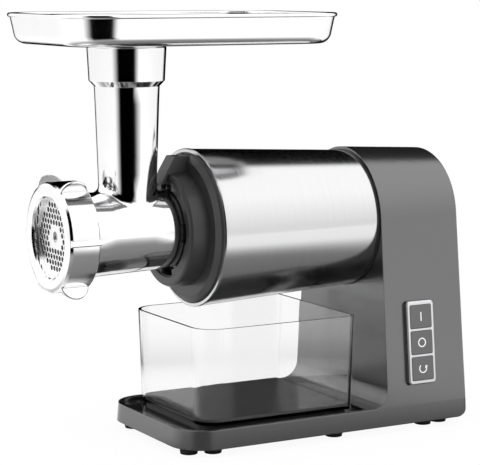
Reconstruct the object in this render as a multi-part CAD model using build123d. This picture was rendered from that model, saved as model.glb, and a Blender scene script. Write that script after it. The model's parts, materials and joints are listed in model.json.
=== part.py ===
"""An electric meat grinder with a lift-off pan, a bayonet head, a drum drive and a slide-out box.

Everything is modelled about the drum: the drum's axis is the Y axis, its front edge is at y = 0,
the meat leaves towards -Y and +Z is up. save() then stands the finished pieces on their feet,
with the origin on the table under the middle of the machine. Lengths are in millimetres.
"""

import os
from math import acos, atan2, cos, degrees, hypot, pi, radians, sin, sqrt, tan

from build123d import *

# ---------------------------------------------------------------- driving dimensions
PAN_FRONT = -126.5            # foremost point of the machine, the pan's lip
COLUMN_BACK = 213.0           # rearmost point, the back of the column
AXIS_HEIGHT = 162.0           # drum axis above the table
FOOT_HEIGHT = 6.0

DRUM_LENGTH = 138.0
DRUM_FRONT_R = 60.0
DRUM_REAR_R = 53.3
SHEET = 1.2                   # stainless sheet of the drum and the pan

COLUMN_FRONT = DRUM_LENGTH
ARCH_FRONT_R = 56.0
ARCH_REAR_R = 52.2
WALL = 3.0                    # moulded body wall

PLINTH_FRONT = -36.8
PLINTH_BOTTOM = FOOT_HEIGHT - AXIS_HEIGHT
PLINTH_HEIGHT = 14.3
PLINTH_TOP = PLINTH_BOTTOM + PLINTH_HEIGHT
PLINTH_HALF = 68.5            # half width at its top
PLINTH_TAPER = 4.4            # degrees, wider towards the table
PLINTH_CORNER = 25.0
LOW_BACK_R = 10.0             # rounding where the column's back meets the base
RECESS_HALF = 64.5
RECESS_FRONT = -32.8
RECESS_REAR = 121.0
RECESS_DEPTH = 5.0
FLOOR_UNDER_RECESS = 2.6

BOX_BOTTOM = -141.2
BOX_TOP = -68.4
BOX_HALF = 57.3               # half width at the bottom
BOX_FRONT = -18.1
BOX_REAR = 111.7
BOX_DRAFT = 1.97              # degrees, each wall
BOX_WALL = 2.2
BOX_FRONT_CORNER = 16.0
BOX_REAR_CORNER = 3.0

COLLAR_R = 43.5
COLLAR_FRONT = -21.0
COLLAR_STEP = 2.2             # the inner part of the collar's face sits this far back
COLLAR_STEP_R = 36.0
PANEL_FACE = -5.0
BAYONET_BORE_R = 30.9
GROOVE_R = 35.2
GROOVE_FRONT = -16.5
GROOVE_REAR = -9.5
BAYONET_COUNT = 4
SLOT_ANGLE = 30.0             # width of each entry slot
LUG_ANGLE = 28.0
LUG_OFFSET = 25.0             # from a slot's middle to its locked lug's middle
LUG_R = 34.6

HEAD_REAR_R = 29.5
HEAD_FRONT_R = 31.5
HEAD_SPIGOT_R = 30.6
SPIGOT_FRONT = -15.5
HEAD_BORE_R = 26.2
MOUTH_R = 35.5
MOUTH_FRONT = -108.5
MOUTH_REAR = -93.5
PLATE_SEAT_R = 31.2
THROAT_Y = -51.0
THROAT_LOW_R = 21.7
THROAT_HIGH_R = 24.35
CUP_BOTTOM = 113.0
CUP_TOP = 138.0
CUP_LOW_R = 28.2
CUP_TOP_R = 29.5
SPIGOT_BORE_R = 23.6

NUT_FRONT = -116.7
NUT_REAR = -92.0
NUT_R = 40.7
NUT_OPENING_R = 29.5
NUT_THREAD_R = 35.8
EAR_ANGLES = (60, 120, 240, 300)
EAR_HALF_LENGTH = 11.0
EAR_RISE = 9.0
EAR_THICK = 2.8

PLATE_R = 31.0
PLATE_FRONT = -110.0
PLATE_THICK = 5.0
HOLE_R = 2.0
HOLE_PITCH = 4.9
HOLE_FIELD_R = 25.5
HUB_R = 8.5
AUGER_PIN_R = 4.0
RUN = 0.05                    # radial clearance of a running fit

PAN_RIM = 161.0
PAN_BOTTOM = 139.6
PAN_HALF = 75.0
PAN_REAR = 101.5
PAN_CORNER = 37.0
PAN_WALL_LEAN = 12.0          # degrees from upright
PAN_BOTTOM_R = 9.0
LIP_R = 1.6                   # rolled lip
NECK_R = 25.2

GEARBOX_R = 56.0
GEARBOX_FRONT = 3.0
GEARBOX_BACK = 30.5
COVER_BACK = 34.0
GEARBOX_FLOOR = 7.0           # y of the cup's inner face
GEARBOX_SCREW_CIRCLE = 46.0
GEARBOX_SCREW_ANGLES = (20, 70, 110, 160)
SHAFT_OFFSET = 28.5           # countershaft axis below the drum axis
FINE_MODULE = 1.0
COARSE_MODULE = 1.5
MOTOR_PINION_TEETH = 8
FIRST_GEAR_TEETH = 49
SECOND_PINION_TEETH = 9
OUTPUT_GEAR_TEETH = 29
PRESSURE_ANGLE = radians(25)
TOOTH_THINNING = 0.1          # off each tooth's thickness, for backlash

MOTOR_SHAFT_R = 4.0
COUNTERSHAFT_R = 4.0
COUNTERSHAFT_BUSH_R = 7.0
OUTPUT_SHAFT_R = 10.0
OUTPUT_BUSH_R = 13.0
SQUARE_HALF = 5.8             # half width of the auger's square tail
AUGER_JOURNAL_R = 9.0
HEAD_BUSH_R = 12.0
SCREW_R = 1.6
SCREW_HEAD_R = 3.2
SOCKET_SCREW_CIRCLE = 39.3    # screws that hold the collar to the front panel
SOCKET_SCREW_ANGLES = (45, 135, 225, 315)
STATOR_R = 44.0
STACK_FRONT = 50.0            # the motor's iron, front and back
STACK_BACK = 88.0
ARMATURE_R = 23.0
ARMATURE_SLOTS = 12
COMMUTATOR_BARS = 24
FAN_BLADES = 12
BEARING_R = 11.0
MOTOR_BACK = 138.0            # y of the cradle's flange, on the column's front wall

BUTTON_PITCH = 20.3
BUTTON_SIZE = (19.8, 18.3)    # along Y, then up the side
BEZEL_SIZE = (25.0, 65.0)
BEZEL_CENTRE = (169.0, -93.5) # y, z
BEZEL_PROUD = 4.0
BEZEL_CORNER = 3.0

LATCH_HALF = 7.0              # half width of the release latch
LATCH_CHANNEL_FLOOR = 37.3
SPRING_PITCH = 1.7
KEY_PIN_R = 1.5
KEY_PIN_Z = -31.6

GLAND_PLACE = (-40.0, -122.0) # x, z of the cable gland in the column's back
GLAND_R = 7.0
GLAND_BORE_R = 3.7
FOOT_R = 7.3
FOOT_STUD_R = 3.0
FOOT_PLACES = ((47, -25), (53, -8), (53, 98), (53, 181), (51, 197))
COVER_SCREW_PLACES = ((58, 12), (58, 80), (58, 150))
BASE_COVER_THICK = 2.5
VENT_PITCH = 7.0

DRUM_FRONT_Y = -(PAN_FRONT + COLUMN_BACK) / 2

os.makedirs("parts", exist_ok=True)


# ---------------------------------------------------------------- helpers
def save(name, shape):
    """Writes one piece, moved from the drum's frame to the machine's own frame on the table."""
    placed = Pos(0, DRUM_FRONT_Y, AXIS_HEIGHT) * shape
    placed.label = name
    export_step(placed, f"parts/{name}.step")


def rod(r, y0, y1, x=0, z=0):
    """A solid cylinder along Y."""
    return Pos(x, (y0 + y1) / 2, z) * Rot(90, 0, 0) * Cylinder(r, y1 - y0)


def ring(r_out, r_in, y0, y1, x=0, z=0):
    """A hollow cylinder along Y."""
    return rod(r_out, y0, y1, x, z) - rod(r_in, y0 - 1, y1 + 1, x, z)


def block(x0, x1, y0, y1, z0, z1):
    """A box between two corners."""
    return Pos((x0 + x1) / 2, (y0 + y1) / 2, (z0 + z1) / 2) * Box(x1 - x0, y1 - y0, z1 - z0)


def turned(*points):
    """A solid turned about the Y axis from (radius, y) points."""
    return revolve(make_face(Polyline(*points, close=True)), Axis.Y, 360)


def spun_up(*points):
    """A solid turned about an upright axis from (radius, z) points."""
    return revolve(Plane.XZ * make_face(Polyline(*points, close=True)), Axis.Z, 360)


def around(angle, shape):
    """The shape turned about the drum axis; 0 is +X and 90 is up."""
    return Rot(0, -angle, 0) * shape


def spread(shape, angles):
    """Copies of a shape at several angles about the drum axis."""
    return [around(angle, shape) for angle in angles]


def group(shapes):
    """Several loose solids kept in one node."""
    return Compound([solid for shape in shapes for solid in shape.solids()])


def on_circle(r, angles):
    """Places (x, z) on a circle about the drum axis."""
    return [(r * cos(radians(angle)), r * sin(radians(angle))) for angle in angles]


def both_sides(places):
    """The places (x, y), each with its mirror image across the machine's middle."""
    return [(side * x, y) for x, y in places for side in (1, -1)]


def plan(half_width, y0, y1, r_front, r_rear, z):
    """A flat outline of a footprint, with its own corner radius at the front and the rear."""
    face = Pos(0, (y0 + y1) / 2, 0) * Rectangle(2 * half_width, y1 - y0)
    if r_front:
        face = fillet(face.vertices().sort_by(Axis.Y)[:2], r_front)
    if r_rear:
        face = fillet(face.vertices().sort_by(Axis.Y)[-2:], r_rear)
    return Pos(0, 0, z) * face


def sector(r_in, r_out, width, y0, y1):
    """A piece of a ring, width degrees wide, centred on +X."""
    half = radians(width) / 2
    reach = r_out * 1.6
    edge = (reach * cos(half), reach * sin(half))
    fan = Polyline((0, 0), (edge[0], -edge[1]), edge, close=True)
    wedge = Pos(0, y1, 0) * extrude(Plane.XZ * make_face(fan), y1 - y0)
    return ring(r_out, r_in, y0, y1) & wedge


# ---------------------------------------------------------------- gears
def involute(angle):
    return tan(angle) - angle


def spur_gear(teeth, module, tip, root, first_tooth, y0, y1):
    """A spur gear about the Y axis. tip and root are the tooth's height and depth in modules."""
    pitch_r = teeth * module / 2
    base_r = pitch_r * cos(PRESSURE_ANGLE)
    tip_r = pitch_r + tip * module
    root_r = pitch_r - root * module
    start_r = max(base_r, root_r)
    half = pi / (2 * teeth) - TOOTH_THINNING / (2 * pitch_r) + involute(PRESSURE_ANGLE)
    radii = [start_r + (tip_r - start_r) * step / 4 for step in range(5)]
    flank = [(r, half - involute(acos(base_r / r))) for r in radii]
    if root_r < base_r:
        flank.insert(0, (root_r, flank[0][1]))
    points = []
    for tooth in range(teeth):
        middle = radians(first_tooth) + 2 * pi * tooth / teeth
        points += [(r * cos(middle - a), r * sin(middle - a)) for r, a in flank]
        points += [(r * cos(middle + a), r * sin(middle + a)) for r, a in reversed(flank)]
    outline = make_face(Polyline(*points, close=True))
    return Pos(0, y1, 0) * extrude(Plane.XZ * outline, y1 - y0)


def make_gears():
    """Motor pinion to big gear, then countershaft pinion to output gear, on the same centres."""
    down = -90
    pinion = spur_gear(MOTOR_PINION_TEETH, FINE_MODULE, 0.8, 0.95, down, 21.0, 29.5)
    save("motor_pinion", pinion - rod(2.5, 20, 31))
    big = spur_gear(FIRST_GEAR_TEETH, FINE_MODULE, 0.7, 1.15, 90 + 180 / FIRST_GEAR_TEETH, 21.8, 28.8)
    lightening = [rod(4.2, 20, 31, x, z) for x, z in on_circle(14.5, range(0, 360, 60))]
    big = big - rod(COUNTERSHAFT_R, 20, 31) - lightening
    save("countershaft_gear", Pos(0, 0, -SHAFT_OFFSET) * big)
    small = spur_gear(SECOND_PINION_TEETH, COARSE_MODULE, 0.8, 1.0, 90 + 180 / SECOND_PINION_TEETH, 7.2, 20.4)
    save("countershaft_pinion", Pos(0, 0, -SHAFT_OFFSET) * (small - rod(COUNTERSHAFT_R, 6, 22)))
    output = spur_gear(OUTPUT_GEAR_TEETH, COARSE_MODULE, 0.8, 1.05, down, 7.6, 19.6)
    save("output_gear", output - rod(OUTPUT_SHAFT_R, 6, 21))


def make_countershaft():
    save("countershaft", rod(COUNTERSHAFT_R, 3.6, 33.4, z=-SHAFT_OFFSET))
    bore = COUNTERSHAFT_R + RUN
    front = ring(COUNTERSHAFT_BUSH_R, bore, 3.2, 6.8, z=-SHAFT_OFFSET)
    rear = ring(COUNTERSHAFT_BUSH_R, bore, 29.4, 33.8, z=-SHAFT_OFFSET)
    save("countershaft_bushes", group([front, rear]))


def make_output_shaft():
    """The output shaft has a square socket at its front end for the auger's tail."""
    shaft = rod(OUTPUT_SHAFT_R, -4.0, 20.4)
    half = SQUARE_HALF + 0.2
    socket = block(-half, half, -5.0, 13.0, -half, half)
    save("output_shaft", shaft - socket)
    save("output_bush", ring(OUTPUT_BUSH_R, OUTPUT_SHAFT_R + RUN, -4.0, 6.8))


def make_gearbox():
    """A cup behind the front panel that holds both gear stages, closed by a cover."""
    wall = 1.6
    cup = rod(GEARBOX_R, GEARBOX_FRONT, GEARBOX_BACK) - rod(GEARBOX_R - wall, GEARBOX_FLOOR, GEARBOX_BACK + 1)
    cup = cup - rod(OUTPUT_BUSH_R, 2, 8) - rod(COUNTERSHAFT_BUSH_R, 3.2, 8, z=-SHAFT_OFFSET)
    places = on_circle(GEARBOX_SCREW_CIRCLE, GEARBOX_SCREW_ANGLES)
    for x, z in places:
        cup = cup + rod(4.5, 5.0, GEARBOX_BACK, x, z) - rod(SCREW_R, 18, GEARBOX_BACK + 1, x, z)
    save("gearbox_housing", cup)
    cover = rod(GEARBOX_R, GEARBOX_BACK, COVER_BACK) - rod(BEARING_R, 30, 35)
    cover = cover - rod(COUNTERSHAFT_BUSH_R, 29.5, 33.8, z=-SHAFT_OFFSET)
    cover = cover - [rod(SCREW_R + 0.3, 30, 35, x, z) for x, z in places]
    save("gearbox_cover", cover)
    head_top = COVER_BACK + 2.2
    screws = [rod(SCREW_HEAD_R, COVER_BACK, head_top, x, z) + rod(SCREW_R, 20.5, head_top, x, z)
              for x, z in places]
    save("gearbox_screws", group(screws))


# ---------------------------------------------------------------- motor
def make_rotor():
    pinion_seat_r = 2.5
    save("rotor_shaft", rod(MOTOR_SHAFT_R, 30.0, 124.0) + rod(pinion_seat_r, 21.0, 30.5))
    core = rod(ARMATURE_R, STACK_FRONT, STACK_BACK) - rod(MOTOR_SHAFT_R, 49, 89)
    slot = block(ARMATURE_R - 8.0, ARMATURE_R + 1, 49, 89, -1.3, 1.3)
    save("armature_core", core - spread(slot, range(0, 360, 360 // ARMATURE_SLOTS)))
    front = turned((8, STACK_FRONT), (21, STACK_FRONT), (20, 46), (12, 43.5), (8, 43.5))
    rear = turned((8, STACK_BACK), (21, STACK_BACK), (20, 93), (12, 96), (8, 96))
    save("armature_windings", group([front, rear]))
    bars = rod(13.0, 98.0, 114.0) - rod(MOTOR_SHAFT_R, 97, 115)
    gap = block(11.8, 14.0, 97, 115, -0.3, 0.3)
    save("commutator", bars - spread(gap, range(0, 360, 360 // COMMUTATOR_BARS)))
    hub = ring(9.0, MOTOR_SHAFT_R, 37.2, 43.0) + ring(38.0, 8.5, 37.2, 38.4)
    blade = block(14, 37.5, 38.0, 43.0, -0.8, 0.8)
    save("cooling_fan", hub + spread(blade, range(0, 360, 360 // FAN_BLADES)))


def make_motor():
    """A two-pole universal motor: stator, field coils, brushes and the brackets that hold it."""
    air_gap = 0.8
    stator = rod(STATOR_R, STACK_FRONT, STACK_BACK) - rod(ARMATURE_R + air_gap, 49, 89)
    coil_slot = block(-34.0, 34.0, 49, 89, 8.5, 24.5) - rod(ARMATURE_R + 4.0, 48, 90)
    stator = stator - coil_slot - Rot(0, 180, 0) * coil_slot
    stator = stator - block(-60, 60, 49, 89, 39, 60) - block(-60, 60, 49, 89, -60, -39)
    save("motor_stator", stator)
    loop = block(-32.5, 32.5, 46.0, 92.0, 10.0, 23.5) - rod(ARMATURE_R + 5.0, 40, 100)
    save("field_coils", group([loop, Rot(0, 180, 0) * loop]))
    cradle = ring(STATOR_R + WALL, STATOR_R, 40.0, MOTOR_BACK) - block(-60, 60, 39, 142, -26, 60)
    flange = ring(51.0, 44.5, MOTOR_BACK - 4, MOTOR_BACK) & block(-60, 60, 130, 145, -60, 10)
    save("motor_cradle", cradle + flange)
    bracket = rod(43.5, 117.0, 122.0) - rod(BEARING_R, 116, 123)
    bracket = bracket & block(-43, 43, 116, 123, -44, 20)
    windows = [rod(9.5, 116, 123, x, z) for x, z in ((24, -8), (-24, -8), (0, -28))]
    save("motor_end_bracket", bracket - windows)
    front = ring(BEARING_R, MOTOR_SHAFT_R + 0.03, 30.8, 36.8)
    rear = ring(BEARING_R, MOTOR_SHAFT_R + 0.03, 116.5, 122.5)
    save("motor_bearings", group([front, rear]))
    holder = block(16.0, 34.0, 101.0, 111.0, -6.0, 6.0) - block(10, 32, 103, 109, -4.0, 4.0)
    holder = holder + block(30.0, 43.4, 98.0, 114.0, -2.0, 2.0)
    save("brush_holders", group([holder, Rot(0, 180, 0) * holder]))
    brush = block(13.05, 28.0, 103.2, 108.8, -3.8, 3.8)
    save("carbon_brushes", group([brush, Rot(0, 180, 0) * brush]))


# ---------------------------------------------------------------- drum and front
def make_drum():
    outer = [(DRUM_FRONT_R, 2.0), (DRUM_REAR_R + 0.07, 136.4)]
    inner = [(DRUM_REAR_R + 0.07 - SHEET, 136.4), (DRUM_FRONT_R - SHEET, 2.0)]
    save("drum_shell", turned(*outer, *inner))
    front = turned((60.3, 1.9), (60.3, 0.2), (59.7, -0.6), (57.6, -0.6), (57.6, 1.9))
    save("front_trim_ring", front)
    rear = turned((54.0, 136.5), (54.0, 138.0), (51.2, 138.0), (51.2, 136.5))
    save("rear_trim_ring", rear)


def make_front_panel():
    """The black disc that closes the drum, with a notch at the top for the release latch."""
    panel = turned((OUTPUT_BUSH_R, GEARBOX_FRONT), (OUTPUT_BUSH_R, PANEL_FACE), (52.0, PANEL_FACE),
                   (56.4, -2.2), (57.5, -0.4), (57.5, GEARBOX_FRONT))
    channel = LATCH_HALF + 0.4
    panel = panel - block(-channel, channel, -6.0, -1.2, LATCH_CHANNEL_FLOOR, 60.0)
    places = on_circle(SOCKET_SCREW_CIRCLE, SOCKET_SCREW_ANGLES)
    screws = [rod(SCREW_R, -9.0, 0.6, x, z) + rod(3.0, 0.4, 3.0, x, z) for x, z in places]
    save("front_panel", panel - screws)
    save("socket_screws", group(screws))


def make_head_socket():
    """The collar with an inner groove and four entry slots, which the head's lugs turn into."""
    collar = turned((COLLAR_R, PANEL_FACE), (COLLAR_R, COLLAR_FRONT + 2.5),
                    (COLLAR_R - 0.8, COLLAR_FRONT + 0.8), (COLLAR_R - 2.5, COLLAR_FRONT),
                    (COLLAR_STEP_R + 0.6, COLLAR_FRONT), (COLLAR_STEP_R, COLLAR_FRONT + 0.6),
                    (COLLAR_STEP_R, COLLAR_FRONT + COLLAR_STEP), (BAYONET_BORE_R, COLLAR_FRONT + COLLAR_STEP),
                    (BAYONET_BORE_R, GROOVE_FRONT),
                    (GROOVE_R, GROOVE_FRONT), (GROOVE_R, GROOVE_REAR), (BAYONET_BORE_R, GROOVE_REAR),
                    (BAYONET_BORE_R, PANEL_FACE))
    entry = sector(BAYONET_BORE_R - 1, GROOVE_R - 0.1, SLOT_ANGLE, COLLAR_FRONT - 1, GROOVE_FRONT + 1)
    collar = collar - spread(entry, range(0, 360, 360 // BAYONET_COUNT))
    channel = LATCH_HALF + 0.4
    collar = collar - block(-channel, channel, -22, -4, LATCH_CHANNEL_FLOOR, 60)
    places = on_circle(SOCKET_SCREW_CIRCLE, SOCKET_SCREW_ANGLES)
    collar = collar - [rod(SCREW_R, -9.0, -4.0, x, z) for x, z in places]
    save("head_socket", collar)


def make_latch():
    """The release latch slides down in a channel of the collar against a coil spring."""
    side = Polyline((-1.5, 42.0), (-1.5, 55.5), (-15.0, 55.5), (-21.4, 45.0), (-26.0, 35.0), (-21.4, 35.0),
                    (-21.4, 42.0), close=True)
    body = extrude(Plane.YZ * make_face(side), LATCH_HALF, both=True)
    top_edges = body.edges().filter_by(Axis.X, reverse=True).filter_by(Axis.Y).sort_by(Axis.Z)[-2:]
    body = chamfer(top_edges, 0.8)
    pocket = Pos(0, -12.0, 46.0) * Cylinder(3.2, 8.4)
    save("release_latch", body - pocket)
    coil = Helix(pitch=SPRING_PITCH, height=11.2, radius=2.2)
    wire_section = Plane(coil @ 0, z_dir=coil % 0) * Circle(0.35)
    spring = Pos(0, -12.0, 37.9) * sweep(wire_section, path=coil)
    save("latch_spring", spring)


# ---------------------------------------------------------------- body
def tombstone(y, arch_r, bottom_half, bottom_z):
    """The column's section: a round arch whose sides run tangent to two bottom corners."""
    reach = hypot(bottom_half, bottom_z)
    tangent = atan2(bottom_z, bottom_half) + acos(arch_r / reach)
    x = arch_r * cos(tangent)
    z = arch_r * sin(tangent)
    arch = ThreePointArc((x, z), (0, arch_r), (-x, z))
    sides = Polyline((-x, z), (-bottom_half, bottom_z), (bottom_half, bottom_z), (x, z))
    return Pos(0, y, 0) * (Plane.XZ * make_face([arch, sides]))


def side_frame():
    """The tilted frame of the button area: local X points out of the column's right side."""
    y, z = BEZEL_CENTRE
    share = (y - COLUMN_FRONT) / (COLUMN_BACK - COLUMN_FRONT)
    arch_r = ARCH_FRONT_R + share * (ARCH_REAR_R - ARCH_FRONT_R)
    reach = hypot(PLINTH_HALF, PLINTH_TOP)
    lean = atan2(PLINTH_TOP, PLINTH_HALF) + acos(arch_r / reach)
    x = (arch_r - z * sin(lean)) / cos(lean)
    return Pos(x, y, z) * Rot(0, -degrees(lean), 0)


def make_body_shell():
    column = loft([tombstone(COLUMN_FRONT, ARCH_FRONT_R, PLINTH_HALF, PLINTH_TOP),
                   tombstone(COLUMN_BACK, ARCH_REAR_R, PLINTH_HALF, PLINTH_TOP)], ruled=True)
    upside = plan(PLINTH_HALF, PLINTH_FRONT, COLUMN_BACK, PLINTH_CORNER, 0, PLINTH_TOP)
    plinth = extrude(upside, -PLINTH_HEIGHT, taper=-PLINTH_TAPER)
    plinth = plinth & block(-90, 90, -90, COLUMN_BACK, -200, 0)
    body = column + plinth
    foot_of_column = [e for e in body.edges().filter_by(Axis.X)
                      if abs(e.center().Y - COLUMN_FRONT) < 0.5 and abs(e.center().Z - PLINTH_TOP) < 0.5]
    body = fillet(foot_of_column, 14.0)
    back_rim = [e for e in body.edges() if e.center().Y > COLUMN_BACK - 0.5 and e.center().Z > PLINTH_TOP - 1]
    body = fillet(back_rim, 3.5) if back_rim else body
    envelope = block(-90, 90, -90, COLUMN_BACK, PLINTH_BOTTOM, 90)
    low_back = envelope.edges().filter_by(Axis.X).sort_by(lambda e: e.center().Z - e.center().Y)[0]
    body = body & fillet(low_back, LOW_BACK_R)
    inner_half = PLINTH_HALF - 2.6
    inner_bottom = PLINTH_BOTTOM + 6
    inner_front = tombstone(COLUMN_FRONT + WALL, ARCH_FRONT_R - WALL, inner_half, inner_bottom)
    inner_back = tombstone(COLUMN_BACK - WALL, ARCH_REAR_R - WALL, inner_half, inner_bottom)
    inner_column = loft([inner_front, inner_back], ruled=True)
    cavity_top = PLINTH_TOP - RECESS_DEPTH - FLOOR_UNDER_RECESS
    under = extrude(plan(65.5, PLINTH_FRONT + 3.6, COLUMN_BACK - 11, 21, 4, PLINTH_BOTTOM - 1),
                    cavity_top - PLINTH_BOTTOM + 1)
    recess = extrude(plan(RECESS_HALF, RECESS_FRONT, RECESS_REAR, 21, 6, PLINTH_TOP - RECESS_DEPTH), 20)
    recess = recess & block(-70, 70, -40, RECESS_REAR, -160, PLINTH_TOP + 0.01)
    body = body - inner_column - under - recess
    body = body - rod(46.0, COLUMN_FRONT - 1, COLUMN_FRONT + WALL + 1)
    window = side_frame() * Box(30, BEZEL_SIZE[0] + 0.2, BEZEL_SIZE[1] + 0.2)
    gland_hole = rod(GLAND_R, COLUMN_BACK - WALL - 2, COLUMN_BACK + 1, *GLAND_PLACE)
    save("body_shell", body - window - gland_hole)


def make_base():
    """The cover under the plinth with its vents, feet and screws, and the dark tray in the recess."""
    top = PLINTH_BOTTOM + BASE_COVER_THICK
    feet = both_sides(FOOT_PLACES)
    screws = both_sides(COVER_SCREW_PLACES)
    outline = plan(65.3, PLINTH_FRONT + 3.8, COLUMN_BACK - 11.2, 20.8, 3.8, PLINTH_BOTTOM)
    vents = [block(-20, 20, y - 1.5, y + 1.5, PLINTH_BOTTOM - 1, top + 1)
             for y in (140 + VENT_PITCH * step for step in range(8))]
    seats = [Pos(x, y, PLINTH_BOTTOM) * Cylinder(FOOT_STUD_R + RUN, 20) for x, y in feet]
    holes = [Pos(x, y, PLINTH_BOTTOM) * Cylinder(1.9, 20) for x, y in screws]
    save("base_cover", extrude(outline, BASE_COVER_THICK) - vents - seats - holes)
    foot = spun_up((0, -FOOT_HEIGHT), (6.2, -FOOT_HEIGHT), (6.9, -FOOT_HEIGHT + 0.8), (FOOT_R, 0),
                   (FOOT_STUD_R, 0), (FOOT_STUD_R, 3.4), (0, 3.4))
    save("rubber_feet", group([Pos(x, y, PLINTH_BOTTOM) * foot for x, y in feet]))
    screw = spun_up((0, -1.6), (2.6, -1.6), (3.4, -0.4), (3.4, 0), (1.7, 0), (1.7, 3.6), (0, 3.6))
    save("base_screws", group([Pos(x, y, PLINTH_BOTTOM) * screw for x, y in screws]))
    floor = PLINTH_TOP - RECESS_DEPTH
    inlay = extrude(plan(RECESS_HALF - 0.3, RECESS_FRONT + 0.3, RECESS_REAR - 0.3, 20.7, 5.7, floor), 2.2)
    pad = extrude(plan(BOX_HALF - 3, BOX_FRONT + 3, BOX_REAR - 3, 14, 3, floor), BOX_BOTTOM - 0.05 - floor)
    save("base_inlay", inlay + pad)


def make_storage_box():
    """A clear box with drafted walls, and the dark plate on its floor."""
    outer = extrude(plan(BOX_HALF, BOX_FRONT, BOX_REAR, BOX_FRONT_CORNER, BOX_REAR_CORNER, BOX_BOTTOM),
                    BOX_TOP - BOX_BOTTOM, taper=-BOX_DRAFT)
    inner = extrude(plan(BOX_HALF - BOX_WALL, BOX_FRONT + BOX_WALL, BOX_REAR - BOX_WALL, BOX_FRONT_CORNER - 2,
                         BOX_REAR_CORNER - 1, BOX_BOTTOM + 2.0), BOX_TOP - BOX_BOTTOM, taper=-BOX_DRAFT)
    save("storage_box", outer - inner)
    plate = extrude(plan(BOX_HALF - BOX_WALL - 0.4, BOX_FRONT + BOX_WALL + 0.4, BOX_REAR - BOX_WALL - 0.4,
                         BOX_FRONT_CORNER - 2.4, BOX_REAR_CORNER - 1.2, BOX_BOTTOM + 2.0), 2.0)
    save("storage_box_liner", plate)


# ---------------------------------------------------------------- controls
def make_controls():
    """Three buttons in a raised frame on the column's right side, each in front of a small switch."""
    frame = side_frame()
    heights = {"on_button": BUTTON_PITCH, "off_button": 0.0, "reverse_button": -BUTTON_PITCH}
    bezel = Pos((BEZEL_PROUD - 8) / 2, 0, 0) * Box(BEZEL_PROUD + 8, *BEZEL_SIZE)
    bezel = fillet(bezel.edges().filter_by(Axis.X), BEZEL_CORNER)
    bezel = chamfer(bezel.edges().group_by(Axis.X)[-1], 0.8)
    for z in heights.values():
        pocket = Pos(0, 0, z) * Box(60, BUTTON_SIZE[0] + 0.4, BUTTON_SIZE[1] + 0.4)
        bezel = bezel - fillet(pocket.edges().filter_by(Axis.X), 1.4)
    save("button_bezel", frame * bezel)
    cap = Pos(0.2, 0, 0) * Box(8.4, *BUTTON_SIZE)
    cap = fillet(cap.edges().filter_by(Axis.X), 1.3)
    cap = fillet(cap.edges().group_by(Axis.X)[-1], 0.7)
    stem = Pos(-7.5, 0, 0) * Rot(0, 90, 0) * Cylinder(3.0, 7.4)
    switch = Pos(-17.0, 0, 0) * Box(7.0, 13.0, 9.0) + Pos(-13.2, 0, 0) * Rot(0, 90, 0) * Cylinder(1.5, 0.8)
    switches = []
    for name, z in heights.items():
        save(name, frame * (Pos(0, 0, z) * (cap + stem)))
        switches.append(frame * (Pos(0, 0, z) * switch))
    save("microswitches", group(switches))
    save("switch_board", frame * (Pos(-21.3, 0, 0) * Box(1.6, 24.0, 64.0)))


def make_electronics():
    """The motor control board in the column, its parts, and the gland where the mains lead enters."""
    board = block(-30, 30, 196.0, 197.6, -96, -24)
    posts = [rod(3.0, 197.6, COLUMN_BACK - WALL, x, z) for x in (-26, 26) for z in (-92, -28)]
    save("control_board", board)
    save("board_posts", group(posts))
    capacitor = rod(8.0, 172.0, 196.0, -16, -42)
    relay = block(2, 24, 180, 196, -52, -32)
    fin_gaps = [block(x, x + 2, 170, 192, -90, -50) for x in range(-24, -5, 4)]
    heat_sink = block(-26, -4, 176, 196, -84, -62) - fin_gaps
    terminals = block(4, 26, 184, 196, -90, -78)
    save("board_components", group([capacitor, relay, heat_sink, terminals]))
    gland = rod(GLAND_R, 206.0, COLUMN_BACK, *GLAND_PLACE) + rod(9.5, 204.0, 207.5, *GLAND_PLACE)
    save("cable_gland", gland - rod(GLAND_BORE_R, 200, 220, *GLAND_PLACE))


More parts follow.
